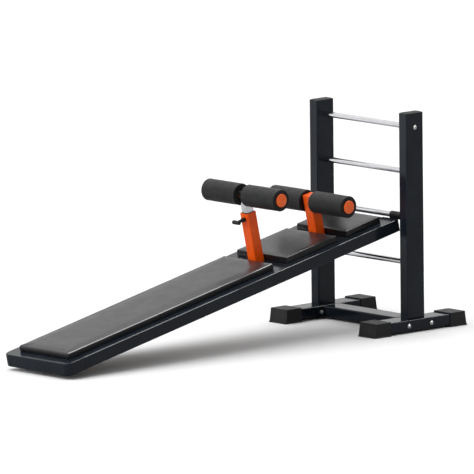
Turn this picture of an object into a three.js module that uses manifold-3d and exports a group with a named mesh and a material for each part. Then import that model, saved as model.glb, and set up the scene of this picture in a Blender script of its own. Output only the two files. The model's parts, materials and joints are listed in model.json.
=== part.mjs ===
// Decline sit up bench: a padded bench that hooks onto the rungs of a short ladder stand.
// Units are millimetres. +X runs from the bench's low end to the ladder, +Y to its left, +Z up.
// The ladder and the bench are built around the ladder's centre line, then the whole object is
// shifted along X so that the origin is the middle of its base.
import * as THREE from "three";
import { mergeVertices } from "three/addons/utils/BufferGeometryUtils.js";
import Module from "manifold-3d";

const wasm = await Module();
wasm.setup();

// ---- driving dimensions -------------------------------------------------------------------
const GAP = 0.3; // left between pieces that touch
const WALL = 3; // steel tube wall
const STOCK_WIDE = 100; // rectangular tube, wide side
const STOCK_NARROW = 50; // rectangular tube, narrow side
const STOCK_CORNER = 6; // outer corner radius of the rectangular tube

// ladder stand
const POST_SPACING = 568; // between the posts' centre planes
const RAIL_BASE = 7; // underside of the foot rails above the floor
const RAIL_TOP = RAIL_BASE + STOCK_NARROW;
const RAIL_LENGTH = 510;
const POST_TOP = 950;
const POST_CAP_RISE = 7;
const RUNG_DIAMETER = 25;
const RUNG_TOP_HEIGHT = 891;
const RUNG_PITCH = 198;
const RUNG_COUNT = 4;
const HOOK_RUNG = 2; // index from the top of the rung that carries the bench
const FLANGE_THICKNESS = 6; // plates welded on the cross tube's ends
const FLANGE_LENGTH = 162;
const FLANGE_HEIGHT = 46;
const RAIL_BOLT_X = 66; // bolts either side of the cross tube
const RAIL_BOLT_DIAMETER = 10;
const BOLT_HEAD_DIAMETER = 20;
const BOLT_HEAD_HEIGHT = 6;

// foot caps, sleeved over the rail ends
const CAP_INNER_X = 176;
const CAP_TOP_X = 261;
const CAP_FLOOR_X = 269;
const CAP_TOP_WIDTH = 106;
const CAP_FLOOR_WIDTH = 108;
const CAP_HEIGHT = 62;
const CAP_LIP_X = 275;
const CAP_LIP_WIDTH = 112;
const CAP_LIP_HEIGHT = 5;

// bench: a is measured along it from the rung's axis, b at right angles to its top
const BENCH_ANGLE = THREE.MathUtils.degToRad(12);
const FRAME_LOW_END = -1986;
const FRAME_HIGH_END = -12;
const FRAME_TOP = -13;
const FRAME_DEPTH = 55; // of the frame's tubes, from the top down
const FRAME_WIDTH = 415;
const END_RAIL_LENGTH = 100;
const END_CORNER = 34;
const RAIL_INNER_Y = FRAME_WIDTH / 2 - STOCK_WIDE;
const PAD_WIDTH = 320;
const PAD_THICKNESS = 26.5;
const BOARD_THICKNESS = 10;
const BOARD_INSET = 5; // the vinyl wraps this far round the board's edge
const BACK_PAD = [-1935, -706];
const LEG_PAD = [-634, -331];
const FOOT_PAD = [-274, -72];
const BACK_PAD_EDGE = 12;
const PLATFORM_EDGE = 2;
const HOOK_BORE = 13;
const HOOK_PLATE = 3.5;
const HOOK_INNER_Y = 158.5;
const HOOK_OUTER_Y = 222;
const HOOK_LIP = 9;
const FOOT_RADIUS = 22;
const FOOT_WIDTH = 60;
const FOOT_Y = 58;
const FOOT_STEPS = 15; // steps of 6 degrees, so that a corner of the round is its lowest point

// posts that carry the foam rollers
const THIGH_A = -668;
const ANKLE_A = -302.5;
const SLEEVE_SIZE = 50;
const SLEEVE_TOP = 215;
const ANKLE_POST_TOP = 173.5;
const THIGH_AXLE_B = 292.8;
const ANKLE_AXLE_B = 141.8;
const INNER_SIZE = 38;
const INNER_WALL = 2;
const INNER_BOTTOM = 15;
const INNER_ABOVE_AXLE = 15;
const AXLE_DIAMETER = 20;
const BUSH_DEPTH = 15;
const BUSH_LIP = 1.2;
const HOLE_PITCH = 20;
const HOLES_BELOW_PIN = 5;
const HOLES_ABOVE_PIN = 1;
const PIN_B = 189.8;
const PIN_DIAMETER = 9.4;
const PIN_HOLE = 10.6;
const HOUSING_DIAMETER = 19;
const HOUSING_LENGTH = 17;
const GRIP_DIAMETER = 18;
const GRIP_LENGTH = 44;
const GRIP_REACH = 36; // from the sleeve's face to the grip's axis
const GRIP_DROP = 5; // of the grip's axis below the pin's
const GRIP_BEHIND = 6; // how far the grip passes the pin on the side away from the hand
const GRIP_NECK = 13.6;
const GRIP_SOCKET = 9;

// foam rollers
const ROLLER_DIAMETER = 96;
const ROLLER_LENGTH = 210;
const ROLLER_BORE = 34.6;
const ROLLER_EDGE = 5;
const HUB_DIAMETER = 34;
const DISC_DIAMETER = 58;
const DISC_THICKNESS = 3; // at the rim
const DISC_DOME = 3; // rise of the disc's middle over its rim

// how finely round shapes are divided
const CORNER_STEPS = 2; // per rounded corner of a tube or plate
const ROUND_SIDES = 24; // rungs, axles and other visible bars
const HOLE_SIDES = 12; // bolts, pins and their holes
const TURNED_SIDES = 24; // foam rollers and their hubs
const DOME_STEPS = 5; // of the hubs' domed discs

// ---- materials ----------------------------------------------------------------------------
const finish = (color, roughness, metalness) =>
  new THREE.MeshStandardMaterial({ color, roughness, metalness });
const FRAME_PAINT = finish(0x1a1d22, 0.42, 0.3);
const ORANGE_PAINT = finish(0xd8480f, 0.35, 0.2);
const ORANGE_PLASTIC = finish(0xe2501a, 0.4, 0);
const CHROME = finish(0xd9dcde, 0.08, 1);
const ZINC = finish(0xb4b7ba, 0.35, 1);
const BLACK_PAINT = finish(0x1b1c1e, 0.45, 0.3);
const BLACK_PLASTIC = finish(0x1c1d1f, 0.55, 0);
const RUBBER = finish(0x222325, 0.85, 0);
const VINYL = finish(0x1d1e21, 0.45, 0);
const FOAM = finish(0x2b2c2e, 0.9, 0);
const PLYWOOD = finish(0xb58f63, 0.8, 0);
const SPRING_STEEL = finish(0x8c8f93, 0.3, 1);

// ---- solid modelling helpers --------------------------------------------------------------
function toManifold(geometry) {
  const bare = geometry.clone();
  bare.deleteAttribute("normal");
  bare.deleteAttribute("uv");
  const merged = mergeVertices(bare, 1e-4);
  const vertProperties = new Float32Array(merged.attributes.position.array);
  const triVerts = new Uint32Array(merged.index.array);
  return new wasm.Manifold(new wasm.Mesh({ numProp: 3, vertProperties, triVerts }));
}

function toGeometry(manifold) {
  const mesh = manifold.getMesh();
  const geometry = new THREE.BufferGeometry();
  geometry.setAttribute("position", new THREE.BufferAttribute(mesh.vertProperties, 3));
  geometry.setIndex(new THREE.BufferAttribute(mesh.triVerts, 1));
  geometry.computeVertexNormals();
  return geometry;
}

const cut = (base, ...tools) =>
  toGeometry(tools.reduce((solid, tool) => solid.subtract(toManifold(tool)), toManifold(base)));
const join = (base, ...others) =>
  toGeometry(others.reduce((solid, other) => solid.add(toManifold(other)), toManifold(base)));

// A rectangle with round corners, centred, as a THREE.Shape or as a hole in one.
function roundedRect(width, height, radius, path = new THREE.Shape()) {
  const x = width / 2 - radius;
  const y = height / 2 - radius;
  path.absarc(x, y, radius, 0, Math.PI / 2);
  path.absarc(-x, y, radius, Math.PI / 2, Math.PI);
  path.absarc(-x, -y, radius, Math.PI, 1.5 * Math.PI);
  path.absarc(x, -y, radius, 1.5 * Math.PI, 2 * Math.PI);
  return path;
}

const extrude = (shape, depth, curveSegments = CORNER_STEPS) =>
  new THREE.ExtrudeGeometry(shape, { depth, bevelEnabled: false, curveSegments })
    .translate(0, 0, -depth / 2);

const box = (x, y, z) => new THREE.BoxGeometry(x, y, z);

// A round bar whose axis is "x", "y" or "z".
function bar(diameter, length, axis, sides = ROUND_SIDES) {
  const geometry = new THREE.CylinderGeometry(diameter / 2, diameter / 2, length, sides);
  if (axis === "x") return geometry.rotateZ(Math.PI / 2);
  if (axis === "z") return geometry.rotateX(Math.PI / 2);
  return geometry;
}

// Rectangular tube along "x", "y" or "z". Its two sizes are across the axis, in X, Y, Z order.
function tube(length, axis, first, second, wall = WALL, corner = STOCK_CORNER) {
  const shape = roundedRect(first, second, corner);
  const bore = Math.max(corner - wall, 0.8);
  shape.holes.push(roundedRect(first - 2 * wall, second - 2 * wall, bore, new THREE.Path()));
  const geometry = extrude(shape, length);
  if (axis === "x") return geometry.rotateX(Math.PI / 2).rotateZ(Math.PI / 2);
  if (axis === "y") return geometry.rotateX(Math.PI / 2);
  return geometry;
}

// A solid of revolution about Z from [radius, height] points that start and end on the axis or
// close on themselves, turned so that its axis is +Y or -Y.
function turned(points, side, segments = TURNED_SIDES) {
  const profile = points.map(([radius, height]) => new THREE.Vector2(radius, height));
  const geometry = new THREE.LatheGeometry(profile, segments);
  return side > 0 ? geometry : geometry.rotateX(Math.PI);
}

function piece(group, name, geometry, material, x = 0, y = 0, z = 0) {
  const mesh = new THREE.Mesh(geometry, material);
  mesh.name = name;
  mesh.position.set(x, y, z);
  group.add(mesh);
  return mesh;
}

const SIDES = [["left", 1], ["right", -1]];
const ENDS = [["front", -1], ["rear", 1]];
const rungHeight = (index) => RUNG_TOP_HEIGHT - index * RUNG_PITCH;

// ---- ladder stand -------------------------------------------------------------------------
// The rungs pass through the posts' inner walls and stop against the outer ones.
function addPosts(stand) {
  const height = POST_TOP - RAIL_TOP - GAP;
  const middle = RAIL_TOP + GAP + height / 2;
  for (const [side, sign] of SIDES) {
    const holes = [];
    for (let i = 0; i < RUNG_COUNT; i += 1) {
      const bore = bar(RUNG_DIAMETER + 2 * GAP + 0.4, STOCK_NARROW - 2 * WALL, "y");
      holes.push(bore.translate(0, -sign * STOCK_NARROW / 2, rungHeight(i) - middle));
    }
    const screw = bar(RAIL_BOLT_DIAMETER + 0.6, 4 * WALL, "y", HOLE_SIDES);
    holes.push(screw.translate(0, sign * STOCK_NARROW / 2, rungHeight(0) - middle));
    const post = cut(tube(height, "z", STOCK_WIDE, STOCK_NARROW), ...holes);
    piece(stand, `${side}_post`, post, FRAME_PAINT, 0, sign * POST_SPACING / 2, middle);
    addPostCap(stand, side, sign);
  }
}

// Plastic cap: a slightly domed lid on a plug that goes down inside the post.
function addPostCap(stand, side, sign) {
  const lidBase = 3;
  const outline = roundedRect(STOCK_WIDE, STOCK_NARROW, STOCK_CORNER);
  const lid = extrude(outline, lidBase).translate(0, 0, lidBase / 2);
  const rise = POST_CAP_RISE - lidBase - GAP;
  const dome = taperedBlock(STOCK_WIDE - 3, STOCK_NARROW - 3, STOCK_WIDE - 22, STOCK_NARROW - 22, rise);
  const plugWide = STOCK_WIDE - 2 * WALL - 2 * GAP;
  const plugNarrow = STOCK_NARROW - 2 * WALL - 2 * GAP;
  const plug = extrude(roundedRect(plugWide, plugNarrow, 4), 20).translate(0, 0, -9.9);
  const pocket = extrude(roundedRect(plugWide - 5, plugNarrow - 5, 3), 20).translate(0, 0, -10.5);
  const cap = join(lid, dome.translate(0, 0, lidBase + rise / 2), cut(plug, pocket));
  const y = sign * POST_SPACING / 2;
  piece(stand, `${side}_post_cap`, cap, BLACK_PLASTIC, 0, y, POST_TOP + GAP);
}

// A block whose top rectangle differs from its bottom one. It is centred on its height.
function taperedBlock(bottomX, bottomY, topX, topY, height) {
  const geometry = box(1, 1, height);
  const position = geometry.attributes.position;
  for (let i = 0; i < position.count; i += 1) {
    const isTop = position.getZ(i) > 0;
    position.setX(i, position.getX(i) * (isTop ? topX : bottomX));
    position.setY(i, position.getY(i) * (isTop ? topY : bottomY));
  }
  return geometry;
}

function addRungs(stand) {
  const length = POST_SPACING + STOCK_NARROW - 2 * WALL - 2 * GAP;
  for (let i = 0; i < RUNG_COUNT; i += 1) {
    const round = bar(RUNG_DIAMETER, length, "y");
    const ends = SIDES.map(([, sign]) =>
      bar(RAIL_BOLT_DIAMETER + 0.6, 52, "y", HOLE_SIDES).translate(0, sign * length / 2, 0));
    const rung = i === 0 ? cut(round, ...ends) : round;
    piece(stand, `rung_${i + 1}`, rung, CHROME, 0, 0, rungHeight(i));
  }
  for (const [side, sign] of SIDES) {
    const shank = bar(RAIL_BOLT_DIAMETER, 26, "y", HOLE_SIDES).translate(0, -sign * 12.9, 0);
    const bolt = join(boltHead(sign), shank);
    const y = sign * (POST_SPACING / 2 + STOCK_NARROW / 2 + GAP);
    piece(stand, `${side}_rung_bolt`, bolt, ZINC, 0, y, rungHeight(0));
  }
}

// A low round head with a washer edge, standing out along Y from its seat at y = 0.
function boltHead(sign) {
  const r = BOLT_HEAD_DIAMETER / 2;
  const points = [[0, 0], [r, 0], [r, 1.5], [r * 0.72, 2], [r * 0.62, BOLT_HEAD_HEIGHT - 1]];
  points.push([r * 0.45, BOLT_HEAD_HEIGHT], [0, BOLT_HEAD_HEIGHT]);
  return turned(points, sign, HOLE_SIDES + 4);
}

function addFootRails(stand) {
  const z = RAIL_BASE + STOCK_NARROW / 2;
  for (const [side, sign] of SIDES) {
    const holes = ENDS.map(([, end]) =>
      bar(RAIL_BOLT_DIAMETER + 0.6, STOCK_WIDE + 10, "y", HOLE_SIDES).translate(end * RAIL_BOLT_X, 0, 0));
    const rail = cut(tube(RAIL_LENGTH, "x", STOCK_WIDE, STOCK_NARROW), ...holes);
    piece(stand, `${side}_foot_rail`, rail, FRAME_PAINT, 0, sign * POST_SPACING / 2, z);
    for (const [end, direction] of ENDS) {
      addFootCap(stand, `${side}_${end}_foot_cap`, direction, sign * POST_SPACING / 2);
      addRailBolt(stand, `${side}_${end}_rail_bolt`, direction * RAIL_BOLT_X, sign, z);
    }
  }
}

// Moulded cap: a tapered block on a thin lip, open towards the middle to take the rail's end.
function addFootCap(stand, name, direction, y) {
  const blockLength = (CAP_TOP_X + CAP_FLOOR_X) / 2 - CAP_INNER_X;
  const lean = (CAP_FLOOR_X - CAP_TOP_X) / 2;
  const floorLength = blockLength + lean;
  const topLength = blockLength - lean;
  const block = taperedBlock(floorLength, CAP_FLOOR_WIDTH, topLength, CAP_TOP_WIDTH, CAP_HEIGHT);
  const position = block.attributes.position;
  for (let i = 0; i < position.count; i += 1) {
    const offset = position.getZ(i) > 0 ? -lean / 2 : lean / 2;
    position.setX(i, position.getX(i) + offset);
  }
  block.translate(CAP_INNER_X + blockLength / 2, 0, CAP_HEIGHT / 2);
  const lipLength = CAP_LIP_X - CAP_INNER_X + 4;
  const lip = extrude(roundedRect(lipLength, CAP_LIP_WIDTH, 8), CAP_LIP_HEIGHT);
  lip.translate(CAP_LIP_X - lipLength / 2, 0, CAP_LIP_HEIGHT / 2);
  const outline = roundedRect(STOCK_WIDE + 2 * GAP, STOCK_NARROW + 2 * GAP, STOCK_CORNER);
  const depth = 2 * (RAIL_LENGTH / 2 + GAP - CAP_INNER_X) + 20;
  const socket = extrude(outline, depth).rotateX(Math.PI / 2).rotateZ(Math.PI / 2);
  socket.translate(RAIL_LENGTH / 2 + GAP - depth / 2, 0, RAIL_BASE + STOCK_NARROW / 2);
  const cap = cut(join(block, lip), socket);
  if (direction < 0) cap.rotateZ(Math.PI);
  piece(stand, name, cap, BLACK_PLASTIC, 0, y, 0);
}

// Through bolt with its nut on: head outside the foot rail, nut on the cross tube's flange.
function addRailBolt(stand, name, x, sign, z) {
  const grip = STOCK_WIDE + FLANGE_THICKNESS + 3 * GAP;
  const nutHeight = 8;
  const shankLength = grip + nutHeight + 6;
  const shank = bar(RAIL_BOLT_DIAMETER, shankLength, "y", HOLE_SIDES);
  shank.translate(0, -sign * (shankLength / 2 - 0.5), 0);
  const nut = bar(18, nutHeight, "y", 6).translate(0, -sign * (grip + nutHeight / 2), 0);
  const bolt = join(boltHead(sign), shank, nut);
  piece(stand, name, bolt, ZINC, x, sign * (POST_SPACING / 2 + STOCK_WIDE / 2 + GAP), z);
}

// The cross tube with its two bolting flanges welded on.
function addCrossTube(stand) {
  const railFace = POST_SPACING / 2 - STOCK_WIDE / 2 - GAP;
  const spanLength = 2 * (railFace - FLANGE_THICKNESS + 1);
  const flanges = SIDES.map(([, sign]) => {
    const outline = roundedRect(FLANGE_LENGTH, FLANGE_HEIGHT, 8);
    const plate = extrude(outline, FLANGE_THICKNESS).rotateX(Math.PI / 2);
    const holes = ENDS.map(([, end]) =>
      bar(RAIL_BOLT_DIAMETER + 0.6, 20, "y", HOLE_SIDES).translate(end * RAIL_BOLT_X, 0, 0));
    const bore = box(STOCK_WIDE - 2 * WALL, 20, FLANGE_HEIGHT - 2 * WALL - 4);
    return cut(plate, ...holes, bore).translate(0, sign * (railFace - FLANGE_THICKNESS / 2), 0);
  });
  const beam = join(tube(spanLength, "y", STOCK_WIDE, STOCK_NARROW), ...flanges);
  piece(stand, "cross_tube", beam, FRAME_PAINT, 0, 0, RAIL_BASE + STOCK_NARROW / 2);
}

// ---- bench frame --------------------------------------------------------------------------
const FRAME_MIDDLE_B = FRAME_TOP - FRAME_DEPTH / 2;
const LOW_MEMBER_A = FRAME_LOW_END + END_RAIL_LENGTH + GAP + STOCK_WIDE / 2;

// Side rails lie flat. Their upper ends are closed by a welded plate.
function addSideRails(bench) {
  const low = FRAME_LOW_END + END_RAIL_LENGTH + GAP;
  const length = FRAME_HIGH_END - low;
  for (const [side, sign] of SIDES) {
    const plate = extrude(roundedRect(STOCK_WIDE, FRAME_DEPTH, STOCK_CORNER), WALL);
    plate.rotateX(Math.PI / 2).rotateZ(Math.PI / 2).translate(length / 2 - WALL / 2, 0, 0);
    const rail = join(tube(length, "x", STOCK_WIDE, FRAME_DEPTH), plate);
    const y = sign * (RAIL_INNER_Y + STOCK_WIDE / 2);
    piece(bench, `${side}_side_rail`, rail, FRAME_PAINT, low + length / 2, y, FRAME_MIDDLE_B);
  }
}

// The low end: a welded box with round corners, open towards the side rails.
function addLowEndRail(bench) {
  const half = FRAME_WIDTH / 2;
  const outline = new THREE.Shape();
  outline.moveTo(END_RAIL_LENGTH, half);
  outline.lineTo(END_CORNER, half);
  outline.absarc(END_CORNER, half - END_CORNER, END_CORNER, Math.PI / 2, Math.PI);
  outline.absarc(END_CORNER, -half + END_CORNER, END_CORNER, Math.PI, 1.5 * Math.PI);
  outline.lineTo(END_RAIL_LENGTH, -half);
  const bevel = 3;
  const shell = new THREE.ExtrudeGeometry(outline, {
    depth: FRAME_DEPTH - 2 * bevel,
    bevelEnabled: true,
    bevelThickness: bevel,
    bevelSize: bevel,
    bevelOffset: -bevel,
    bevelSegments: 1,
    curveSegments: 5,
  }).translate(0, 0, -FRAME_DEPTH / 2 + bevel);
  const inside = extrude(roundedRect(2 * END_RAIL_LENGTH, FRAME_WIDTH - 2 * WALL, END_CORNER - WALL),
    FRAME_DEPTH - 2 * WALL, 5).translate(END_RAIL_LENGTH + WALL, 0, 0);
  const rail = cut(shell, inside);
  piece(bench, "low_end_rail", rail, FRAME_PAINT, FRAME_LOW_END, 0, FRAME_MIDDLE_B);
}

function addCrossMembers(bench) {
  const span = 2 * (RAIL_INNER_Y - GAP);
  const members = [
    ["upper_cross_member", FRAME_HIGH_END - STOCK_WIDE / 2],
    ["ankle_cross_member", ANKLE_A],
    ["thigh_cross_member", THIGH_A],
    ["middle_cross_member", (BACK_PAD[0] + BACK_PAD[1]) / 2],
    ["low_cross_member", LOW_MEMBER_A],
  ];
  for (const [name, a] of members) {
    const member = tube(span, "y", STOCK_WIDE, FRAME_DEPTH);
    piece(bench, name, member, FRAME_PAINT, a, 0, FRAME_MIDDLE_B);
  }
}

// Hook plate: it stands on the frame's upper end, goes over the rung and down its far side.
function addHooks(bench) {
  const outer = HOOK_BORE + HOOK_PLATE;
  const profile = new THREE.Shape();
  profile.moveTo(-outer, FRAME_TOP + GAP);
  profile.lineTo(-HOOK_BORE, FRAME_TOP + GAP);
  profile.absarc(0, 0, HOOK_BORE, Math.PI, 0, true);
  profile.lineTo(HOOK_BORE, -HOOK_LIP);
  profile.lineTo(outer, -HOOK_LIP);
  profile.absarc(0, 0, outer, 0, Math.PI);
  const width = HOOK_OUTER_Y - HOOK_INNER_Y;
  for (const [side, sign] of SIDES) {
    const hook = extrude(profile, width, 14).rotateX(Math.PI / 2);
    piece(bench, `${side}_hook`, hook, BLACK_PAINT, 0, sign * (HOOK_INNER_Y + width / 2), 0);
  }
}

// Rubber foot: a block with a half-round underside that rolls as the bench's angle changes.
function addBenchFeet(bench) {
  const hookZ = rungHeight(HOOK_RUNG);
  const centreB = (FOOT_RADIUS - hookZ - LOW_MEMBER_A * Math.sin(BENCH_ANGLE)) / Math.cos(BENCH_ANGLE);
  const top = FRAME_TOP - FRAME_DEPTH - GAP - centreB;
  const profile = new THREE.Shape();
  profile.moveTo(FOOT_RADIUS, top);
  profile.lineTo(-FOOT_RADIUS, top);
  profile.absarc(0, 0, FOOT_RADIUS, Math.PI, 2 * Math.PI);
  for (const [side, sign] of SIDES) {
    const foot = extrude(profile, FOOT_WIDTH, FOOT_STEPS).rotateX(Math.PI / 2);
    piece(bench, `${side}_bench_foot`, foot, RUBBER, LOW_MEMBER_A, sign * FOOT_Y, centreB);
  }
}

// A cushion with a shallow pocket underneath, and the plywood board that sits in the pocket.
function addPad(bench, name, [low, high], edge) {
  const length = high - low;
  const corner = edge > PLATFORM_EDGE ? 16 : 4;
  const outline = roundedRect(length - 2 * edge, PAD_WIDTH - 2 * edge, Math.max(corner - edge, 1));
  const cushion = new THREE.ExtrudeGeometry(outline, {
    depth: PAD_THICKNESS - 2 * edge,
    bevelEnabled: true,
    bevelThickness: edge,
    bevelSize: edge,
    bevelSegments: edge > PLATFORM_EDGE ? 3 : 1,
    curveSegments: CORNER_STEPS,
  }).translate(0, 0, FRAME_TOP + GAP + edge);
  const boardLength = length - 2 * BOARD_INSET - 2 * edge;
  const boardWidth = PAD_WIDTH - 2 * BOARD_INSET - 2 * edge;
  const pocket = box(boardLength + 2 * GAP, boardWidth + 2 * GAP, 2 * (BOARD_THICKNESS + GAP));
  const cover = cut(cushion, pocket.translate(0, 0, FRAME_TOP + GAP));
  piece(bench, name, cover, VINYL, (low + high) / 2, 0, 0);
  const board = box(boardLength, boardWidth, BOARD_THICKNESS);
  const boardB = FRAME_TOP + GAP + BOARD_THICKNESS / 2;
  piece(bench, `${name}_board`, board, PLYWOOD, (low + high) / 2, 0, boardB);
}

// ---- roller posts -------------------------------------------------------------------------
function addAnklePost(bench) {
  const height = ANKLE_POST_TOP - FRAME_TOP - GAP;
  const middle = ANKLE_POST_TOP - height / 2;
  const post = tube(height, "z", SLEEVE_SIZE, SLEEVE_SIZE, WALL, 4);
  const lid = extrude(roundedRect(SLEEVE_SIZE, SLEEVE_SIZE, 4), WALL);
  lid.translate(0, 0, height / 2 - WALL / 2);
  const hole = bar(AXLE_DIAMETER + 2 * GAP, 2 * SLEEVE_SIZE, "y");
  const drilled = cut(join(post, lid), hole.translate(0, 0, ANKLE_AXLE_B - middle));
  piece(bench, "ankle_post", drilled, ORANGE_PAINT, ANKLE_A, 0, middle);
  addAxle(bench, "ankle_axle", ANKLE_A, ANKLE_AXLE_B, SLEEVE_SIZE / 2);
}

const ROLLER_CLEARANCE = 1.5; // between a roller's inner end and its post

function addAxle(group, name, a, b, postHalf) {
  const half = postHalf + ROLLER_CLEARANCE + ROLLER_LENGTH - 4;
  piece(group, name, bar(AXLE_DIAMETER, 2 * half, "y"), ZINC, a, 0, b);
}

function addThighSleeve(bench) {
  const height = SLEEVE_TOP - FRAME_TOP - GAP;
  const middle = SLEEVE_TOP - height / 2;
  const hole = bar(PIN_HOLE, 4 * WALL, "x", HOLE_SIDES).translate(-SLEEVE_SIZE / 2, 0, PIN_B - middle);
  const sleeve = cut(tube(height, "z", SLEEVE_SIZE, SLEEVE_SIZE, WALL, 4), hole);
  piece(bench, "thigh_sleeve", sleeve, ORANGE_PAINT, THIGH_A, 0, middle);
}

// Plastic guide in the sleeve's mouth, with a lip that covers the sleeve's top edge.
function addSleeveBush(bench) {
  const plugSize = SLEEVE_SIZE - 2 * WALL - 2 * GAP;
  const bore = INNER_SIZE + 2 * GAP;
  const plug = tube(BUSH_DEPTH + 1, "z", plugSize, plugSize, (plugSize - bore) / 2, 2);
  const lipSize = SLEEVE_SIZE - 5;
  const lip = tube(BUSH_LIP, "z", lipSize, lipSize, (lipSize - bore) / 2, 3);
  plug.translate(0, 0, -BUSH_DEPTH / 2 + 0.5);
  const bush = join(lip.translate(0, 0, BUSH_LIP / 2), plug);
  piece(bench, "sleeve_bush", bush, BLACK_PLASTIC, THIGH_A, 0, SLEEVE_TOP + GAP);
}

// The chrome post that slides in the sleeve, with a row of holes for the pull pin.
function addThighPost(group) {
  const top = THIGH_AXLE_B + INNER_ABOVE_AXLE;
  const height = top - INNER_BOTTOM;
  const middle = (top + INNER_BOTTOM) / 2;
  const holes = [bar(AXLE_DIAMETER + 2 * GAP, 60, "y").translate(0, 0, THIGH_AXLE_B - middle)];
  for (let i = -HOLES_BELOW_PIN; i <= HOLES_ABOVE_PIN; i += 1) {
    const hole = bar(PIN_HOLE, 4 * INNER_WALL, "x", HOLE_SIDES);
    holes.push(hole.translate(-INNER_SIZE / 2, 0, PIN_B + i * HOLE_PITCH - middle));
  }
  const post = cut(tube(height, "z", INNER_SIZE, INNER_SIZE, INNER_WALL, 4), ...holes);
  piece(group, "thigh_inner_post", post, CHROME, THIGH_A, 0, middle);
  addAxle(group, "thigh_axle", THIGH_A, THIGH_AXLE_B, INNER_SIZE / 2);
  addPostGlide(group);
  const lid = extrude(roundedRect(INNER_SIZE, INNER_SIZE, 4), 3);
  piece(group, "thigh_post_cap", lid, BLACK_PLASTIC, THIGH_A, 0, top + GAP + 1.5);
}

// Plastic glide on the sliding post's lower end.
function addPostGlide(group) {
  const size = SLEEVE_SIZE - 2 * WALL - 2 * GAP;
  const insideSize = INNER_SIZE - 2 * INNER_WALL - 2 * GAP;
  const pad = extrude(roundedRect(size, size, 2), 6).translate(0, 0, -3);
  const spigot = extrude(roundedRect(insideSize, insideSize, 1.5), 20).translate(0, 0, 9.5);
  const glide = join(pad, spigot);
  piece(group, "post_glide", glide, BLACK_PLASTIC, THIGH_A, 0, INNER_BOTTOM - GAP);
}

// ---- pull pin -----------------------------------------------------------------------------
const SLEEVE_FACE_A = THIGH_A - SLEEVE_SIZE / 2;
const PIN_COLLAR_DIAMETER = 14;
const PIN_COLLAR_LENGTH = 2.5;
const HOUSING_END = 2;
const SHOULDER_A = SLEEVE_FACE_A - HOUSING_LENGTH - 2 * GAP;
const GRIP_AXIS_A = SLEEVE_FACE_A - GRIP_REACH;

// Round housing on the sleeve's face. The spring inside it pushes the pin into the post.
function addPinHousing(bench) {
  const r = HOUSING_DIAMETER / 2;
  const boreRadius = PIN_COLLAR_DIAMETER / 2 + GAP;
  const exitRadius = PIN_DIAMETER / 2 + GAP;
  const inner = HOUSING_LENGTH - HOUSING_END;
  const points = [[boreRadius, 0], [r, 0], [r, HOUSING_LENGTH - 1], [r - 1, HOUSING_LENGTH]];
  points.push([exitRadius, HOUSING_LENGTH], [exitRadius, inner], [boreRadius, inner], [boreRadius, 0]);
  const housing = turned(points, 1, 24).rotateZ(Math.PI / 2);
  piece(bench, "pin_housing", housing, BLACK_PLASTIC, SLEEVE_FACE_A - GAP, 0, PIN_B);
}

// The steel pin: tip, spring collar and a shaft that ends in the grip's socket.
function addPullPin(group) {
  const tipA = THIGH_A - INNER_SIZE / 2 + 3;
  const endA = SHOULDER_A - GRIP_SOCKET + GAP;
  const shaft = bar(PIN_DIAMETER, tipA - endA, "x", HOLE_SIDES).translate((tipA + endA) / 2, 0, 0);
  const collarA = SLEEVE_FACE_A - 2 * GAP - PIN_COLLAR_LENGTH / 2;
  const collar = bar(PIN_COLLAR_DIAMETER, PIN_COLLAR_LENGTH, "x").translate(collarA, 0, 0);
  piece(group, "pull_pin", join(shaft, collar), ZINC, 0, 0, PIN_B);
}

// Moulded grip: a round barrel across the bench on a neck that holds the pin's end.
function addPinGrip(group) {
  const r = GRIP_DIAMETER / 2;
  const length = GRIP_LENGTH;
  const points = [[0, 0], [r * 0.7, 0], [r, 2.5], [r, length - 4], [r * 0.8, length - 1], [0, length]];
  const barrel = turned(points, 1).translate(0, -GRIP_BEHIND, -GRIP_DROP);
  const neckLength = SHOULDER_A - GRIP_AXIS_A;
  const neck = bar(GRIP_NECK, neckLength, "x").translate(neckLength / 2, 0, 0);
  const socket = bar(PIN_DIAMETER + 2 * GAP, 2 * GRIP_SOCKET, "x", HOLE_SIDES).translate(neckLength, 0, 0);
  piece(group, "pin_grip", cut(join(barrel, neck), socket), BLACK_PLASTIC, GRIP_AXIS_A, 0, PIN_B);
}

function addPinSpring(bench) {
  const wire = 1;
  const turns = 4;
  const start = SLEEVE_FACE_A - 2 * GAP - PIN_COLLAR_LENGTH - GAP - wire / 2;
  const end = SLEEVE_FACE_A - HOUSING_LENGTH + HOUSING_END + wire / 2;
  const radius = PIN_DIAMETER / 2 + GAP + wire / 2 + 0.6;
  const helix = new THREE.Curve();
  helix.getPoint = (t, target = new THREE.Vector3()) => {
    const angle = 2 * Math.PI * turns * t;
    return target.set(start + (end - start) * t, radius * Math.cos(angle), radius * Math.sin(angle));
  };
  const round = new THREE.Shape().absarc(0, 0, wire / 2, 0, 2 * Math.PI);
  const coil = new THREE.ExtrudeGeometry(round, { steps: 40, extrudePath: helix, curveSegments: 3 });
  piece(bench, "pin_spring", coil, SPRING_STEEL, 0, 0, PIN_B);
}

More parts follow.
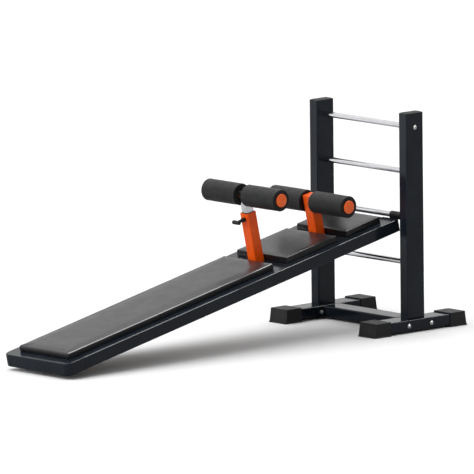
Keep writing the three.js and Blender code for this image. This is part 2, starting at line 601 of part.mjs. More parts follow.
// ---- foam rollers -------------------------------------------------------------------------
// Each roller is a foam tube on a moulded hub whose closed outer end covers the axle's end.
function addRollers(group, prefix, a, b, postHalf) {
  const start = postHalf + ROLLER_CLEARANCE;
  for (const [side, sign] of SIDES) {
    const outer = ROLLER_DIAMETER / 2;
    const bore = ROLLER_BORE / 2;
    const end = ROLLER_LENGTH;
    const e = ROLLER_EDGE;
    const foamPoints = [[bore, 0], [outer - e, 0], [outer - 0.3 * e, 0.3 * e], [outer, e], [outer, end - e]];
    foamPoints.push([outer - 0.3 * e, end - 0.3 * e], [outer - e, end], [bore, end], [bore, 0]);
    const foam = turned(foamPoints, sign).translate(0, sign * start, 0);
    piece(group, `${prefix}_${side}_foam`, foam, FOAM, a, 0, b);

    const disc = DISC_DIAMETER / 2;
    const hub = HUB_DIAMETER / 2;
    const axle = AXLE_DIAMETER / 2 + GAP;
    const face = end + GAP;
    const rim = face + DISC_THICKNESS;
    const hubPoints = [[axle, 0], [hub, 0], [hub, face], [disc, face]];
    for (let i = 0; i <= DOME_STEPS; i += 1) {
      const turn = (i / DOME_STEPS) * Math.PI / 2;
      hubPoints.push([disc * Math.cos(turn), rim + DISC_DOME * Math.sin(turn)]);
    }
    hubPoints.push([0, end - 2], [axle, end - 2], [axle, 0]);
    const spool = turned(hubPoints, sign).translate(0, sign * start, 0);
    piece(group, `${prefix}_${side}_hub`, spool, ORANGE_PLASTIC, a, 0, b);
  }
}

// ---- assembly -----------------------------------------------------------------------------
const object = new THREE.Group();

const stand = new THREE.Group();
addPosts(stand);
addRungs(stand);
addFootRails(stand);
addCrossTube(stand);
object.add(stand);

const bench = new THREE.Group();
bench.position.z = rungHeight(HOOK_RUNG);
bench.rotation.y = -BENCH_ANGLE;
addSideRails(bench);
addLowEndRail(bench);
addCrossMembers(bench);
addHooks(bench);
addBenchFeet(bench);
addPad(bench, "back_pad", BACK_PAD, BACK_PAD_EDGE);
addPad(bench, "leg_pad", LEG_PAD, PLATFORM_EDGE);
addPad(bench, "foot_pad", FOOT_PAD, PLATFORM_EDGE);
addAnklePost(bench);
addThighSleeve(bench);
addSleeveBush(bench);
addPinHousing(bench);
addPinSpring(bench);
addPullPin(bench);
addPinGrip(bench);
addThighPost(bench);
addRollers(bench, "thigh", THIGH_A, THIGH_AXLE_B, INNER_SIZE / 2);
addRollers(bench, "ankle", ANKLE_A, ANKLE_AXLE_B, SLEEVE_SIZE / 2);
object.add(bench);

// The origin is the middle of the base.
object.updateMatrixWorld(true);
const bounds = new THREE.Box3().setFromObject(object, true);
object.position.x = -(bounds.min.x + bounds.max.x) / 2;

export default object;
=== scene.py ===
"""Looks of the decline sit up bench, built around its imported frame: pads, foam rollers, the
pull pin's spring, materials, light and camera. Lengths are in metres.

Pieces of the bench are shaped in the bench's own axes: a runs along it towards the ladder,
y across it and b at right angles to its top, with the origin on the rung that carries it."""

import json
import math

import bmesh
import bpy
import numpy as np
from mathutils import Matrix, Vector, noise


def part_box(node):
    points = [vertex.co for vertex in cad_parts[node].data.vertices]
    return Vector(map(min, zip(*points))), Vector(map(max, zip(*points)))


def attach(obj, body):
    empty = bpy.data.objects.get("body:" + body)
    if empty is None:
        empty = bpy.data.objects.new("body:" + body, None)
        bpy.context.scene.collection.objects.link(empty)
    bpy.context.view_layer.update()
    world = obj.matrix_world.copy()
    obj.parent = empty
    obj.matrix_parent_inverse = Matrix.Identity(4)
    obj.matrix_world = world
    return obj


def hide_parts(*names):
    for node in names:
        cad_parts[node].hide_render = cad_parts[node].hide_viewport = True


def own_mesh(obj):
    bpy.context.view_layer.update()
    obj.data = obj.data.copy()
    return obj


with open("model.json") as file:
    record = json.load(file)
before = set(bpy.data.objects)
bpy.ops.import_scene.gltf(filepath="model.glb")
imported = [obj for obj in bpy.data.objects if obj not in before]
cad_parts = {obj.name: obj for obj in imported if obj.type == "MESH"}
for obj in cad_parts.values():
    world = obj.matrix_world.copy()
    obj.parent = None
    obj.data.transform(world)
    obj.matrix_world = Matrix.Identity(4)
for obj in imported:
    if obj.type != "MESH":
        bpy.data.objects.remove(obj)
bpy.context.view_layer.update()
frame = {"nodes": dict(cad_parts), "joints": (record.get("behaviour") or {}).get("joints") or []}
MM = 0.001

# ---- camera -------------------------------------------------------------------------------
AZIMUTH = math.radians(42.42)
ELEVATION = math.radians(8.92)
ROLL = math.radians(0.58)
CAMERA_AIM = Vector((0.1088, 0.0437, 0.4553))
CAMERA_DISTANCE = 90.76
LENS = 1600
SENSOR = 36


def add_camera():
    looking = Vector((
        math.sin(AZIMUTH) * math.cos(ELEVATION),
        math.cos(AZIMUTH) * math.cos(ELEVATION),
        -math.sin(ELEVATION),
    ))
    right = Vector((math.cos(AZIMUTH), -math.sin(AZIMUTH), 0))
    up = right.cross(looking)
    data = bpy.data.cameras.new("camera")
    data.lens = LENS
    data.sensor_width = SENSOR
    data.clip_end = 400
    camera = bpy.data.objects.new("camera", data)
    bpy.context.scene.collection.objects.link(camera)
    axes = Matrix((right, up, -looking)).transposed().to_4x4()
    place = Matrix.Translation(CAMERA_AIM - looking * CAMERA_DISTANCE)
    camera.matrix_world = place @ axes @ Matrix.Rotation(-ROLL, 4, "Z")
    bpy.context.scene.camera = camera


# ---- bench axes ---------------------------------------------------------------------------
def bench_axes():
    """The matrix from the bench's axes to the frame's."""
    slide = next(j for j in frame["joints"] if j["name"] == "thigh_post_slide")
    b_axis = Vector(slide["axis"]).normalized()
    a_axis = Vector((b_axis.z, 0, -b_axis.x))
    low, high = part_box("rung_3")
    origin = (low + high) / 2
    columns = Matrix((a_axis, Vector((0, 1, 0)), b_axis)).transposed().to_4x4()
    return Matrix.Translation(origin) @ columns


BENCH = bench_axes()


def bench_box(node):
    """Lowest and highest corner of a CAD node in the bench's axes."""
    back = BENCH.inverted()
    points = np.array([back @ v.co for v in frame["nodes"][node].data.vertices])
    return Vector(points.min(0)), Vector(points.max(0))


# ---- materials ----------------------------------------------------------------------------
class Surface:
    """A material under construction. Its patterns are in the object's own metres, so their
    scales are about how many of their marks there are in a metre."""

    def __init__(self, name, **values):
        self.material = bpy.data.materials.new(name)
        self.material.use_nodes = True
        tree = self.material.node_tree
        self.nodes, self.links = tree.nodes, tree.links
        self.shader = self.nodes["Principled BSDF"]
        self.place = self.add("ShaderNodeTexCoord").outputs["Object"]
        for key, value in values.items():
            self.shader.inputs[key.replace("_", " ")].default_value = value

    def add(self, kind, inputs=None, **settings):
        node = self.nodes.new(kind)
        for key, value in settings.items():
            setattr(node, key, value)
        for key, value in (inputs or {}).items():
            self.feed(node.inputs[key], value)
        return node

    def feed(self, socket, value):
        if isinstance(value, bpy.types.NodeSocket):
            self.links.new(value, socket)
        else:
            socket.default_value = value

    def stretched(self, x, y, z, tilt=0.0):
        """The object's coordinates scaled apart along its axes, after a turn about Y."""
        turned = self.add("ShaderNodeMapping", {"Vector": self.place, "Rotation": (0, tilt, 0)})
        return self.add("ShaderNodeMapping", {
            "Vector": turned.outputs["Vector"], "Scale": (x, y, z)}).outputs["Vector"]

    def noise(self, scale, detail=3.0, roughness=0.55, where=None, distortion=0.0):
        return self.add("ShaderNodeTexNoise", {
            "Vector": where or self.place, "Scale": scale, "Detail": detail,
            "Roughness": roughness, "Distortion": distortion}).outputs["Fac"]

    def cells(self, scale, feature="F1"):
        return self.add("ShaderNodeTexVoronoi", {
            "Vector": self.place, "Scale": scale}, feature=feature).outputs["Distance"]

    def spread(self, value, low, high, to_low=0.0, to_high=1.0):
        """value's stretch from low to high, smoothly turned into to_low to to_high."""
        return self.add("ShaderNodeMapRange", {
            "Value": value, "From Min": low, "From Max": high, "To Min": to_low,
            "To Max": to_high}, interpolation_type="SMOOTHSTEP").outputs["Result"]

    def math(self, operation, first, second=0.0):
        node = self.add("ShaderNodeMath", operation=operation)
        self.feed(node.inputs[0], first)
        self.feed(node.inputs[1], second)
        return node.outputs[0]

    def blend(self, amount, first, second):
        """Colour first turning into colour second."""
        node = self.add("ShaderNodeMix", data_type="RGBA")
        self.feed(node.inputs["Factor"], amount)
        for socket, colour in ((node.inputs[6], first), (node.inputs[7], second)):
            self.feed(socket, (*colour, 1) if isinstance(colour, tuple) else colour)
        return node.outputs[2]

    def rubbed_and_highlit_edges(self, radius, scale):
        """1 on the outer edges where patchy rubbing has reached, 0 elsewhere. The lighter colour
        it brings there is partly rubbed paint and partly a painted highlight.
        """
        rounded = self.add("ShaderNodeBevel", {"Radius": radius}, samples=4).outputs["Normal"]
        normal = self.add("ShaderNodeNewGeometry").outputs["Normal"]
        alike = self.add("ShaderNodeVectorMath", operation="DOT_PRODUCT")
        self.feed(alike.inputs[0], rounded)
        self.feed(alike.inputs[1], normal)
        edge = self.spread(alike.outputs["Value"], 0.995, 0.9)
        patches = self.spread(self.noise(scale, 6, 0.65), 0.42, 0.62)
        return self.math("MULTIPLY", edge, patches)

    def bump(self, height, distance, strength=1.0):
        node = self.add("ShaderNodeBump", {
            "Height": height, "Distance": distance, "Strength": strength})
        self.feed(self.shader.inputs["Normal"], node.outputs["Normal"])

    def colour(self, value):
        self.feed(self.shader.inputs["Base Color"], value)

    def roughness(self, value):
        self.feed(self.shader.inputs["Roughness"], value)


def powder_coat(name, dark, light, rubbed_and_highlit_colour):
    """Baked powder paint: an even orange-peel skin, faint mottling and rubbed edges, lightened
    partly by rubbing and partly as a painted highlight.
    """
    s = Surface(name, Specular_IOR_Level=0.22)
    peel = s.noise(420, 2, 0.5)
    tone = s.blend(s.spread(s.noise(7, 5), 0.35, 0.65), dark, light)
    # Lighter edges: partly rubbed paint, partly a painted highlight along the rounded edges.
    rubbed_and_highlit = s.rubbed_and_highlit_edges(1.6 * MM, 60)
    s.colour(s.blend(s.math("MULTIPLY", rubbed_and_highlit, 0.55), tone, rubbed_and_highlit_colour))
    scuffs = s.spread(s.noise(30, 8, 0.7), 0.4, 0.7, 0.11, 0.19)
    s.roughness(s.math("ADD", scuffs, s.math("MULTIPLY", rubbed_and_highlit, 0.12)))
    s.bump(peel, 0.06 * MM, 0.3)
    return s.material


def gloss_paint(name, dark, light, rubbed_and_highlit_colour):
    """Satin coloured paint: an orange-peel skin, faint mottling and rubbed edges, lightened
    partly by rubbing and partly as a painted highlight.
    """
    s = Surface(name, Specular_IOR_Level=0.25)
    peel = s.noise(300, 2, 0.5)
    tone = s.blend(s.spread(s.noise(14, 4), 0.35, 0.65), dark, light)
    # Lighter edges: partly rubbed paint, partly a painted highlight along the rounded edges.
    rubbed_and_highlit = s.rubbed_and_highlit_edges(1.2 * MM, 90)
    s.colour(s.blend(s.math("MULTIPLY", rubbed_and_highlit, 0.5), tone, rubbed_and_highlit_colour))
    s.roughness(s.spread(s.noise(40, 6), 0.35, 0.7, 0.26, 0.38))
    s.bump(peel, 0.1 * MM, 0.4)
    return s.material


def moulded_plastic(name, dark, light, grain, rough, specular, depth):
    """Injection-moulded plastic with a fine spark-eroded grain."""
    s = Surface(name, Specular_IOR_Level=specular)
    sparks = s.noise(grain, 4, 0.7)
    s.colour(s.blend(s.spread(s.noise(11, 5), 0.3, 0.7), dark, light))
    s.roughness(s.spread(s.noise(55, 5), 0.3, 0.7, *rough))
    s.bump(sparks, depth, 0.6)
    return s.material


def vinyl(name):
    """Upholstery vinyl: a pebbled grain, slightly uneven gloss and paler rubbed patches."""
    s = Surface(name, Specular_IOR_Level=0.50, Sheen_Weight=0.02, Sheen_Roughness=0.5)
    pebbles = s.spread(s.cells(820), 0.05, 0.62)
    fine = s.noise(1900, 3, 0.6)
    creases = s.spread(s.cells(360, "DISTANCE_TO_EDGE"), 0.0, 0.12)
    height = s.math("ADD", s.math("MULTIPLY", pebbles, 0.6), s.math("MULTIPLY", fine, 0.3))
    height = s.math("ADD", height, s.math("MULTIPLY", creases, 0.35))
    rubbed = s.spread(s.noise(4.5, 6, 0.6), 0.45, 0.75)
    s.colour(s.blend(rubbed, (0.0062, 0.0065, 0.0078), (0.0125, 0.0130, 0.0145)))
    s.roughness(s.spread(s.noise(16, 7, 0.65), 0.3, 0.7, 0.28, 0.36))
    s.bump(height, 0.06 * MM, 0.2)
    return s.material


def closed_foam(name, end):
    """Closed-cell foam: matt, finely pitted and a little paler where it is rubbed, with painted
    shade that darkens the ends, which lie a distance end from the middle along Y."""
    s = Surface(name, Specular_IOR_Level=0.30, Sheen_Weight=0.04, Sheen_Roughness=0.35)
    pores = s.spread(s.cells(900), 0.0, 0.5)
    grain = s.noise(1500, 4, 0.7)
    height = s.math("ADD", s.math("MULTIPLY", pores, 0.7), s.math("MULTIPLY", grain, 0.5))
    patches = s.spread(s.noise(24, 6, 0.6), 0.35, 0.7)
    split = s.add("ShaderNodeSeparateXYZ", {"Vector": s.place})
    along = s.math("ABSOLUTE", split.outputs["Y"])
    # Painted shade: the end faces of the tube are coloured darker, as if turned away from the
    # light.
    painted_shade_ends = s.spread(along, end - 2.5 * MM, end - 0.6 * MM)
    skin = s.blend(patches, (0.0085, 0.0088, 0.0096), (0.0150, 0.0153, 0.0163))
    s.colour(s.blend(painted_shade_ends, skin, (0.0045, 0.0040, 0.0042)))
    s.roughness(s.spread(s.noise(60, 5), 0.3, 0.7, 0.50, 0.64))
    s.bump(height, 0.35 * MM, 0.5)
    return s.material


def chrome(name, base, rough, along=(1, 1, 1)):
    """Plated or bright steel: fine polishing lines and a faint haze."""
    s = Surface(name, Metallic=1.0)
    lines = s.noise(60, 5, 0.7, where=s.stretched(*along))
    haze = s.noise(18, 6, 0.6)
    s.colour(s.blend(s.spread(haze, 0.3, 0.75), base, tuple(c * 0.9 for c in base)))
    s.roughness(s.spread(lines, 0.3, 0.75, *rough))
    s.bump(lines, 0.02 * MM, 0.25)
    return s.material


def zinc(name, base):
    """Bright zinc plating: mottled grey with a slight yellow and blue cast."""
    s = Surface(name, Metallic=1.0)
    spangle = s.spread(s.cells(260), 0.0, 0.8)
    warm = s.blend(s.spread(s.noise(120, 4), 0.35, 0.65), base, (0.60, 0.58, 0.52))
    s.colour(s.blend(s.math("MULTIPLY", spangle, 0.35), warm, (0.42, 0.46, 0.52)))
    s.roughness(s.spread(s.noise(300, 5), 0.3, 0.7, 0.26, 0.44))
    s.bump(s.noise(900, 3), 0.04 * MM, 0.4)
    return s.material


def plywood(name, tilt):
    """Birch plywood: long grain on the faces and thin plies on the cut edges."""
    s = Surface(name, Specular_IOR_Level=0.25)
    grain = s.noise(34, 7, 0.62, where=s.stretched(0.6, 9, 9, tilt), distortion=0.6)
    plies = s.add("ShaderNodeTexWave", {
        "Vector": s.stretched(1, 1, 1, tilt), "Scale": 95.0, "Distortion": 0.4},
        bands_direction="Z").outputs["Fac"]
    face = s.blend(s.spread(grain, 0.3, 0.7), (0.52, 0.36, 0.20), (0.36, 0.22, 0.11))
    glue = s.math("MULTIPLY", s.spread(plies, 0.4, 0.6), 0.35)
    s.colour(s.blend(glue, face, (0.25, 0.15, 0.08)))
    s.roughness(s.spread(grain, 0.2, 0.8, 0.6, 0.8))
    s.bump(grain, 0.3 * MM, 0.3)
    return s.material


def rubber(name):
    """Moulded rubber: matt, dusty in patches and finely pitted."""
    s = Surface(name, Specular_IOR_Level=0.3)
    dusty = s.spread(s.noise(45, 7, 0.65), 0.4, 0.7)
    s.colour(s.blend(dusty, (0.012, 0.012, 0.013), (0.035, 0.034, 0.033)))
    s.roughness(s.spread(s.noise(90, 5), 0.3, 0.7, 0.7, 0.9))
    s.bump(s.noise(700, 4, 0.7), 0.2 * MM, 0.5)
    return s.material


BENCH_TILT = -math.atan2(BENCH[2][0], BENCH[0][0])
FOAM_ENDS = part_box("thigh_left_foam")
FOAM_LENGTH = FOAM_ENDS[1].y - FOAM_ENDS[0].y
MATERIALS = {
    "frame_paint": powder_coat(
        "frame_paint", (0.0072, 0.0105, 0.0160), (0.0105, 0.0145, 0.0210), (0.04, 0.045, 0.052)),
    "black_fittings": powder_coat(
        "black_fittings", (0.008, 0.008, 0.009), (0.014, 0.014, 0.015), (0.06, 0.06, 0.062)),
    "orange_paint": gloss_paint(
        "orange_paint", (0.90, 0.088, 0.003), (0.96, 0.112, 0.004), (0.90, 0.22, 0.07)),
    "orange_plastic": moulded_plastic(
        "orange_plastic", (0.92, 0.120, 0.006), (0.98, 0.150, 0.010), 900, (0.26, 0.36), 0.5,
        0.05 * MM),
    "black_plastic": moulded_plastic(
        "black_plastic", (0.010, 0.010, 0.0112), (0.017, 0.017, 0.0185), 1300, (0.5, 0.64), 0.28,
        0.25 * MM),
    "foam": closed_foam("foam", FOAM_LENGTH / 2),
    "vinyl": vinyl("vinyl"),
    "chrome": chrome("chrome", (0.76, 0.76, 0.78), (0.06, 0.16), (30, 1, 30)),
    "zinc": zinc("zinc", (0.62, 0.63, 0.65)),
    "spring_steel": chrome("spring_steel", (0.45, 0.46, 0.48), (0.25, 0.40)),
    "plywood": plywood("plywood", BENCH_TILT),
    "rubber": rubber("rubber"),
}


def give(obj, slot):
    obj.data.materials.clear()
    obj.data.materials.append(MATERIALS[slot])


# ---- carried-over CAD nodes ---------------------------------------------------------------
# How far each kind of sharp edge is rounded, by the words in a node's name.
EDGE_ROUNDING = [
    ("foot_cap", 2.2 * MM),
    ("post_cap", 1.2 * MM),
    ("bench_foot", 1.5 * MM),
    ("bolt", 0.5 * MM),
    ("hub", 0.9 * MM),
    ("hook", 0.9 * MM),
    ("board", 0.4 * MM),
    ("bush", 0.4 * MM),
    ("", 0.8 * MM),
]
SHARP_EDGE = math.radians(50)
FLAT_WITHIN = math.radians(0.6)  # facets that differ by less are joined into one face
WELD_GAP = 0.02 * MM


def finish_cad_nodes():
    for name, node in frame["nodes"].items():
        material = node.data.materials[0].name.split(".")[0]
        give(node, material)
        mesh = node.data
        for attribute in ("custom_normal", "sharp_face", "sharp_edge"):
            if attribute in mesh.attributes:
                mesh.attributes.remove(mesh.attributes[attribute])
        mesh.shade_smooth()
        weld = node.modifiers.new("weld", "WELD")
        weld.merge_threshold = WELD_GAP
        clean = node.modifiers.new("clean", "DECIMATE")
        clean.decimate_type = "DISSOLVE"
        clean.angle_limit = FLAT_WITHIN
        bevel = node.modifiers.new("bevel", "BEVEL")
        bevel.width = next(width for word, width in EDGE_ROUNDING if word in name)
        bevel.segments = 2
        bevel.limit_method = "ANGLE"
        bevel.angle_limit = SHARP_EDGE
        weighted = node.modifiers.new("weighted", "WEIGHTED_NORMAL")
        weighted.weight = 100
        weighted.keep_sharp = True


# ---- soft pieces --------------------------------------------------------------------------
def new_object(name, mesh, matrix=None):
    obj = bpy.data.objects.new(name, mesh)
    bpy.context.scene.collection.objects.link(obj)
    if matrix is not None:
        obj.matrix_world = matrix
    return obj


def as_mesh(shape, name):
    """A smooth mesh datablock made from a bmesh, which is freed."""
    mesh = bpy.data.meshes.new(name)
    shape.to_mesh(mesh)
    shape.free()
    mesh.shade_smooth()
    return mesh


def join_rings(shape, first, second):
    """Faces between two closed rings with the same number of vertices."""
    for step in range(len(first)):
        after = (step + 1) % len(first)
        shape.faces.new((first[step], first[after], second[after], second[step]))


EDGE_STEPS = 3  # rows of faces round an edge of a pad


def axis_samples(half, radius, step):
    """Places along one axis of a rounded block: close over its round edges, even between."""
    flat = half - radius
    count = max(2, round(2 * flat / step))
    middle = np.linspace(-flat, flat, count + 1)
    edge = np.linspace(0, radius, EDGE_STEPS + 1)[1:]
    return np.concatenate([(-flat - edge)[::-1], middle, flat + edge])


def rounded_block(name, half, radius, step):
    """A closed block of quads with round edges and corners, about its own middle."""
    samples = [axis_samples(h, radius, step) for h in half]
    counts = [len(s) - 1 for s in samples]
    shape = bmesh.new()
    made = {}

    def vertex(index):
        if index not in made:
            point = np.array([samples[k][index[k]] for k in range(3)])
            inner = np.clip(point, radius - np.array(half), np.array(half) - radius)
            x, y, z = (point - inner) / radius
            ball = np.array([
                x * math.sqrt(max(0, 1 - y * y / 2 - z * z / 2 + y * y * z * z / 3)),
                y * math.sqrt(max(0, 1 - z * z / 2 - x * x / 2 + z * z * x * x / 3)),
                z * math.sqrt(max(0, 1 - x * x / 2 - y * y / 2 + x * x * y * y / 3)),
            ])
            made[index] = shape.verts.new(inner + radius * ball)
        return made[index]

    for axis in range(3):
        u, v = (axis + 1) % 3, (axis + 2) % 3
        for end in (0, counts[axis]):
            for i in range(counts[u]):
                for j in range(counts[v]):
                    corners = []
                    for di, dj in ((0, 0), (1, 0), (1, 1), (0, 1)):
                        index = [0, 0, 0]
                        index[axis], index[u], index[v] = end, i + di, j + dj
                        corners.append(vertex(tuple(index)))
                    shape.faces.new(corners if end else corners[::-1])
    return as_mesh(shape, name)


def coordinates(mesh):
    points = np.zeros(len(mesh.vertices) * 3)
    mesh.vertices.foreach_get("co", points)
    return points.reshape(-1, 3)


def set_coordinates(mesh, points):
    mesh.vertices.foreach_set("co", np.asarray(points).ravel())
    mesh.update()


def evaluated_mesh(obj):
    graph = bpy.context.evaluated_depsgraph_get()
    return bpy.data.meshes.new_from_object(obj.evaluated_get(graph), depsgraph=graph)


PRESSURE = 4.0
CLOTH_FRAMES = 20
TINY = 1e-9  # keeps a length that is divided by off zero


def inflate(obj, held_below, most):
    """Lets pressure fill the cover as cloth, held along its underside. No point moves further
    than most, and the result is kept as the mesh."""
    start = coordinates(obj.data)
    held = obj.vertex_groups.new(name="held")
    held.add([i for i, p in enumerate(start) if p[2] < held_below], 1.0, "REPLACE")
    cloth = obj.modifiers.new("cloth", "CLOTH")
    settings = cloth.settings
    settings.quality = 5
    settings.mass = 0.4
    settings.tension_stiffness = 25
    settings.compression_stiffness = 25
    settings.shear_stiffness = 10
    settings.bending_stiffness = 2.0
    settings.vertex_group_mass = "held"
    settings.use_pressure = True
    settings.uniform_pressure_force = PRESSURE
    settings.effector_weights.gravity = 0
    cloth.point_cache.frame_start = 1
    cloth.point_cache.frame_end = CLOTH_FRAMES
    scene = bpy.context.scene
    for step in range(1, CLOTH_FRAMES + 1):
        scene.frame_set(step)
    result = evaluated_mesh(obj)
    moved = coordinates(result) - start
    length = np.linalg.norm(moved, axis=1, keepdims=True)
    moved *= np.minimum(1, most / np.maximum(length, TINY))
    obj.modifiers.remove(cloth)
    scene.frame_set(1)
    set_coordinates(obj.data, start + moved)
    bpy.data.meshes.remove(result)
    obj.vertex_groups.clear()


def subdivide(obj):
    modifier = obj.modifiers.new("subdivision", "SUBSURF")
    modifier.levels = modifier.render_levels = 1
    smooth = evaluated_mesh(obj)
    obj.modifiers.remove(modifier)
    obj.data = smooth


def cut_pocket(obj, low, high):
    """Takes the room of the board out of the cushion's underside."""
    cutter_mesh = bpy.data.meshes.new("pocket")
    shape = bmesh.new()
    bmesh.ops.create_cube(shape, size=1)
    for vertex in shape.verts:
        vertex.co = Vector([(l + h) / 2 + c * (h - l) for l, h, c in zip(low, high, vertex.co)])
    shape.to_mesh(cutter_mesh)
    shape.free()
    cutter = new_object("pocket", cutter_mesh, obj.matrix_world)
    modifier = obj.modifiers.new("pocket", "BOOLEAN")
    modifier.object = cutter
    modifier.operation = "DIFFERENCE"
    modifier.solver = "EXACT"
    hollow = evaluated_mesh(obj)
    obj.modifiers.remove(modifier)
    obj.data = hollow
    bpy.data.objects.remove(cutter)


# name, radius of the rolled edge, how much lower the cover starts, how far it may swell and
# how full of padding it is
PADS = [
    ("back_pad", 9.0 * MM, 0.5 * MM, 2.5 * MM, 0.8),
    ("leg_pad", 2.5 * MM, 0.6 * MM, 1.2 * MM, 0.9),
    ("foot_pad", 2.5 * MM, 0.6 * MM, 1.2 * MM, 0.9),
]
PAD_STEP = 8 * MM
PAD_LEANS_IN = 1.0 * MM  # how far the walls of a cover start inside its room at the top
PAD_HELD = 2.5 * MM  # height of the strip along the underside that the cloth is held by
BOARD_CLEARANCE = 0.3 * MM
POCKET_BELOW = 5 * MM  # how far the cutter reaches past the underside


def add_pad(name, edge, start_lower, most, fill):
    low, high = bench_box(name)
    board_low, board_high = bench_box(f"{name}_board")
    half = (high - low) / 2
    middle = (high + low) / 2
    mesh = rounded_block(f"{name}_cover", half, edge, PAD_STEP)
    points = coordinates(mesh)
    rising = np.clip((points[:, 2] + half.z) / (2 * half.z), 0, 1)
    points[:, 2] -= start_lower * rising
    points[:, :2] *= 1 - (PAD_LEANS_IN / np.array(half)[:2]) * rising[:, None]
    set_coordinates(mesh, points)
    cover = new_object(f"{name}_cover", mesh, BENCH @ Matrix.Translation(middle))
    inflate(cover, -half.z + PAD_HELD, most)
    subdivide(cover)
    gap = Vector((BOARD_CLEARANCE, BOARD_CLEARANCE, BOARD_CLEARANCE))
    below = Vector((0, 0, POCKET_BELOW))
    cut_pocket(cover, board_low - middle - gap - below, board_high - middle + gap)
    cover.data.shade_smooth()
    give(cover, "vinyl")
    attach(cover, "bench")
    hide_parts(name)


FOAM_SEGMENTS = 96
FOAM_STEPS = 44  # rows of faces along the tube
FOAM_RIM = 4.5 * MM
RIM_STEPS = 8
FOAM_SWELL = 0.5 * MM  # how much fatter the tube is at its middle
FOAM_UNEVEN = 0.35 * MM
UNEVEN_SCALE = 45
BORE_WALL = 1.2  # up to this many times the bore's radius, the tube is even


def foam_profile(bore, outer, length):
    """Radius and height round the tube's wall, which is soft at both rims."""
    points = []
    for step in range(RIM_STEPS + 1):
        turn = math.pi / 2 * step / RIM_STEPS
        points.append((outer - FOAM_RIM + FOAM_RIM * math.sin(turn),
                       FOAM_RIM - FOAM_RIM * math.cos(turn)))
    for step in range(1, FOAM_STEPS):
        share = step / FOAM_STEPS
        swell = FOAM_SWELL * math.sin(math.pi * share)
        points.append((outer - FOAM_SWELL + swell, FOAM_RIM + (length - 2 * FOAM_RIM) * share))
    for step in range(RIM_STEPS + 1):
        turn = math.pi / 2 * step / RIM_STEPS
        points.append((outer - FOAM_RIM + FOAM_RIM * math.cos(turn),
                       length - FOAM_RIM + FOAM_RIM * math.sin(turn)))
    end = [(outer - FOAM_RIM) * (1 - share) + bore * share for share in (0.25, 0.5, 0.75, 1.0)]
    points += [(radius, length) for radius in end]
    points += [(bore, length * (1 - share)) for share in (0.25, 0.5, 0.75)]
    points += [(radius, 0.0) for radius in reversed(end)]
    return points


def add_foam(post, side, sign):
    node = f"{post}_{side}_foam"
    low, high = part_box(node)
    middle = (low + high) / 2
    away = [math.hypot(v.co.x - middle.x, v.co.z - middle.z)
            for v in frame["nodes"][node].data.vertices]
    bore, outer, length = min(away), max(away), high.y - low.y
    shape = bmesh.new()
    rings = []
    for radius, height in foam_profile(bore, outer, length):
        ring = []
        for step in range(FOAM_SEGMENTS):
            turn = 2 * math.pi * step / FOAM_SEGMENTS
            point = Vector((radius * math.cos(turn), sign * (height - length / 2),
                            radius * math.sin(turn)))
            if radius > bore * BORE_WALL:
                uneven = noise.noise(point * UNEVEN_SCALE + Vector((sign, len(post), 0)))
                point *= 1 - FOAM_UNEVEN * (0.5 + 0.5 * uneven) / radius
            ring.append(shape.verts.new(point))
        rings.append(ring)
    for first, second in zip(rings, rings[1:] + rings[:1]):
        join_rings(shape, first, second)
    bmesh.ops.recalc_face_normals(shape, faces=shape.faces)
    mesh = as_mesh(shape, f"{node}_tube")
    tube = new_object(f"{node}_tube", mesh, Matrix.Translation(middle))
    give(tube, "foam")
    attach(tube, f"{post}_{side}_roller")
    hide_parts(node)


# ---- spring of the pull pin ---------------------------------------------------------------
SPRING_WIRE = 0.7 * MM
SPRING_TURNS = 3.5
SPRING_STEPS = 126
WIRE_SIDES = 10


def add_spring():
    """A round-wire coil in the place of the pull pin's spring."""
    low, high = bench_box("pin_spring")
    middle = (low + high) / 2
    thick = SPRING_WIRE / 2
    radius = (high.y - low.y) / 2 - thick
    start, end = low.x + thick, high.x - thick
    shape = bmesh.new()
    rings = []
    for step in range(SPRING_STEPS + 1):
        share = step / SPRING_STEPS
        turn = 2 * math.pi * SPRING_TURNS * share
        outwards = Vector((0, math.cos(turn), math.sin(turn)))
        centre = Vector((start + (end - start) * share, 0, middle.z)) + radius * outwards
        ring = []
        for side in range(WIRE_SIDES):
            about = 2 * math.pi * side / WIRE_SIDES
            offset = math.cos(about) * outwards + math.sin(about) * Vector((1, 0, 0))
            ring.append(shape.verts.new(centre + thick * offset))
        rings.append(ring)
    for first, second in zip(rings, rings[1:]):
        join_rings(shape, first, second)
    shape.faces.new(rings[0][::-1])
    shape.faces.new(rings[-1])
    bmesh.ops.recalc_face_normals(shape, faces=shape.faces)
    coil = new_object("pin_spring_coil", as_mesh(shape, "pin_spring_coil"), BENCH)
    give(coil, "spring_steel")
    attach(coil, "bench")
    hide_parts("pin_spring")
    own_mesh(coil)


# ---- studio -------------------------------------------------------------------------------
# The floor and the room are white to the camera. In bounces and reflections they are darker.
FLOOR_SIZE = 500
FLOOR_BOUNCE = (0.42, 0.42, 0.43)
FLOOR_BOUNCE_BEHIND = (0.85, 0.85, 0.86)  # the same, for the floor behind the bench
BEHIND_FROM = 1.2  # where the floor's one value turns into the other, as Y less X
BEHIND_TO = 3.6
DARK_SIDE = Vector((0.25, -1.0, -0.05)).normalized()
DARK_LEVEL = 0.40  # strength of the room straight towards its dark side
DARK_SPREAD = 0.55  # cosine of the angle from the dark side at which that is reached
HORIZON_LEVEL = 0.62  # share of the light that is left at the horizon and under it
HORIZON_RISE = 0.30  # height over the horizon, as a share of straight up, of the full light
# name, direction, strength, angle across in degrees, whether it shows in reflections alone
LAMPS = [
    ("overhead", (0.30, -0.22, -1), 1.45, 60, False),
    ("low_side", (1.0, 0.12, -0.22), 0.75, 60, False),
    ("edge_light", (-0.45, 0.08, -0.88), 3.4, 32, True),
]


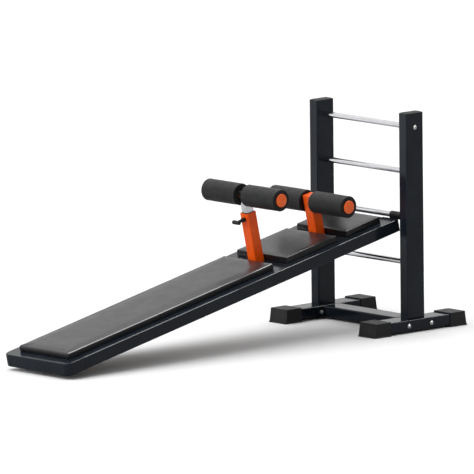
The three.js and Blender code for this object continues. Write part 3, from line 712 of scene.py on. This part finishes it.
def add_floor():
    mesh = bpy.data.meshes.new("floor")
    edge = FLOOR_SIZE / 2
    mesh.from_pydata(
        [(-edge, -edge, 0), (edge, -edge, 0), (edge, edge, 0), (-edge, edge, 0)], [],
        [(0, 1, 2, 3)])
    floor = new_object("floor", mesh)
    s = Surface("floor", Specular_IOR_Level=0.1)
    pale = s.blend(s.noise(3, 3), (0.88, 0.88, 0.88), (0.90, 0.90, 0.90))
    seen = s.add("ShaderNodeLightPath").outputs["Is Camera Ray"]
    split = s.add("ShaderNodeSeparateXYZ", {"Vector": s.place})
    behind = s.math("SUBTRACT", split.outputs["Y"], split.outputs["X"])
    share = s.spread(behind, BEHIND_FROM, BEHIND_TO)
    bounce = s.blend(share, FLOOR_BOUNCE, FLOOR_BOUNCE_BEHIND)
    s.colour(s.blend(seen, bounce, pale))
    s.roughness(s.spread(s.noise(5, 3), 0.3, 0.7, 0.75, 0.85))
    mesh.materials.append(s.material)


def add_world():
    """A white room with one dark side, to which the bench's long side is turned."""
    world = bpy.data.worlds.new("studio")
    world.use_nodes = True
    nodes, links = world.node_tree.nodes, world.node_tree.links
    background = nodes["Background"]
    place = nodes.new("ShaderNodeTexCoord")
    facing = nodes.new("ShaderNodeVectorMath")
    facing.operation = "DOT_PRODUCT"
    facing.inputs[1].default_value = DARK_SIDE
    links.new(place.outputs["Generated"], facing.inputs[0])
    level = nodes.new("ShaderNodeMapRange")
    level.interpolation_type = "SMOOTHSTEP"
    level.inputs["From Max"].default_value = DARK_SPREAD
    level.inputs["To Min"].default_value = 1.0
    level.inputs["To Max"].default_value = DARK_LEVEL
    links.new(facing.outputs["Value"], level.inputs["Value"])
    split = nodes.new("ShaderNodeSeparateXYZ")
    links.new(place.outputs["Generated"], split.inputs["Vector"])
    horizon = nodes.new("ShaderNodeMapRange")
    horizon.interpolation_type = "SMOOTHSTEP"
    horizon.inputs["From Max"].default_value = HORIZON_RISE
    horizon.inputs["To Min"].default_value = HORIZON_LEVEL
    links.new(split.outputs["Z"], horizon.inputs["Value"])
    room = nodes.new("ShaderNodeMath")
    room.operation = "MULTIPLY"
    links.new(level.outputs["Result"], room.inputs[0])
    links.new(horizon.outputs["Result"], room.inputs[1])
    seen = nodes.new("ShaderNodeLightPath")
    brightest = nodes.new("ShaderNodeMath")
    brightest.operation = "MAXIMUM"
    links.new(room.outputs["Value"], brightest.inputs[0])
    links.new(seen.outputs["Is Camera Ray"], brightest.inputs[1])
    links.new(brightest.outputs["Value"], background.inputs["Strength"])
    background.inputs["Color"].default_value = (1, 1, 1, 1)
    bpy.context.scene.world = world


def add_sun(name, towards, strength, angle, gloss_only):
    """A soft lamp that shines along towards. With gloss_only it shows in reflections alone."""
    data = bpy.data.lights.new(name, "SUN")
    data.energy = strength
    data.angle = math.radians(angle)
    lamp = new_object(name, data)
    lamp.rotation_mode = "QUATERNION"
    lamp.rotation_quaternion = Vector(towards).to_track_quat("-Z", "Y")
    lamp.visible_diffuse = not gloss_only


# ---- assembly -----------------------------------------------------------------------------
add_camera()
finish_cad_nodes()
for pad in PADS:
    add_pad(*pad)
for post in ("thigh", "ankle"):
    for side, sign in (("left", 1), ("right", -1)):
        add_foam(post, side, sign)
add_spring()
add_floor()
add_world()
for lamp in LAMPS:
    add_sun(*lamp)
bpy.context.scene.view_settings.view_transform = "Standard"
